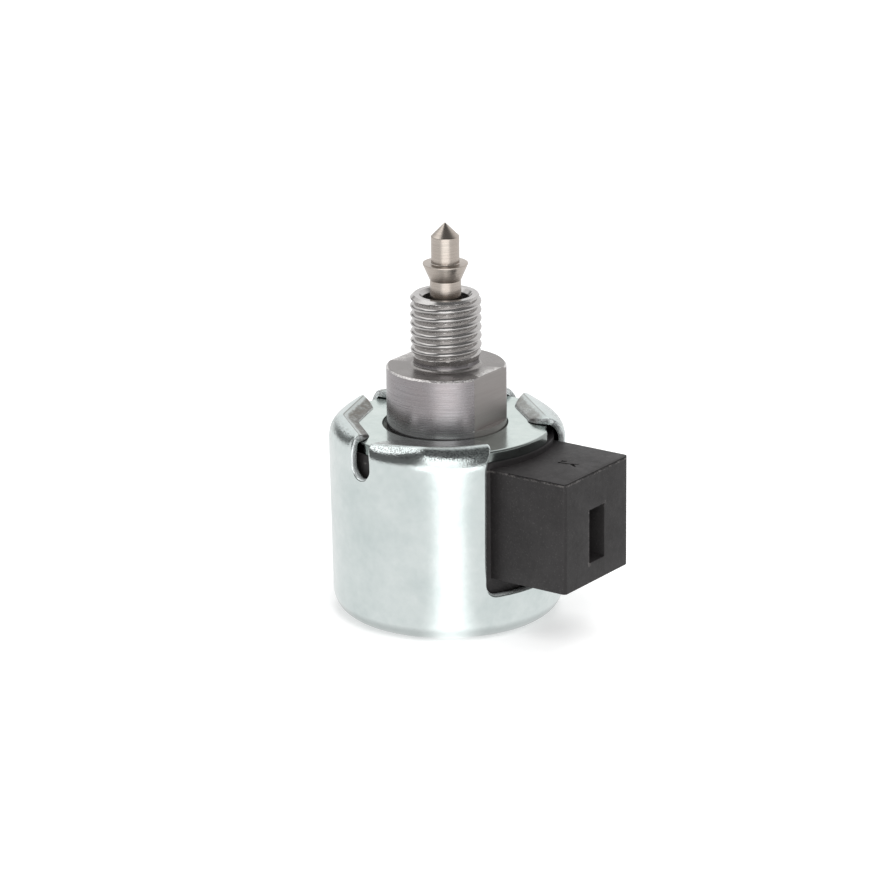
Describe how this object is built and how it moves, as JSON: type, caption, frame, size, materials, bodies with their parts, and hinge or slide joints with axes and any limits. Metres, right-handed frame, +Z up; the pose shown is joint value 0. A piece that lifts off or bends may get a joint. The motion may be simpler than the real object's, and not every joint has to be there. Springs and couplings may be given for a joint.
{
  "type": "plunger solenoid",
  "caption": "Plunger solenoid with a threaded valve stub, a spring-returned cone-tipped needle, a crimped steel can and a moulded side connector.",
  "frame": {"origin": "centre of the can's flat base, on the plunger's axis", "axes": "+Z up along the threaded stub and the needle, +X out through the connector block"},
  "size_m": [0.0335, 0.0266, 0.045],
  "materials": {
    "zinc_steel": "bright zinc plate with a faint blue tint, softly mottled",
    "zinc_plate": "satin zinc plate with a green tint",
    "turned_steel": "turned steel with fine lathe lines",
    "needle_steel": "ground stainless steel",
    "core_steel": "machined soft iron",
    "spring_steel": "drawn spring wire",
    "bronze": "sintered, satin",
    "tube_brass": "drawn, satin",
    "shim_brass": "rolled, satin",
    "tinned_brass": "tinned, satin",
    "copper": "enamelled copper wire",
    "tape": "thin amber film",
    "bobbin_plastic": "natural moulded nylon",
    "black_plastic": "charcoal moulded plastic with sharp flash lines",
    "seal_rubber": "black nitrile"
  },
  "bodies": {
    "housing": {"can_shell": "zinc_steel", "top_plate": "zinc_plate", "valve_body": "turned_steel", "guide_bush": "bronze", "guide_tube": "tube_brass", "pole_core": "core_steel", "pole_shim": "shim_brass", "return_spring": "spring_steel", "upper_seal": "seal_rubber", "lower_seal": "seal_rubber", "bobbin": "bobbin_plastic", "coil_winding": "copper", "coil_tape": "tape", "connector_housing": "black_plastic", "blade_terminal": "tinned_brass", "coil_finish_lead": "copper", "coil_start_lead": "copper", "ground_tab": "tinned_brass", "spring_washer": "spring_steel"},
    "plunger": {"plunger": "core_steel", "needle": "needle_steel"}
  },
  "joints": [
    {"name": "plunger_slide", "type": "slide", "parent": "housing", "child": "plunger", "axis": [0, 0, 1], "range_m": [-0.0025, 0], "stiffness_N_per_m": 200, "springref_m": 0.006, "deforming": ["return_spring"]}
  ]
}
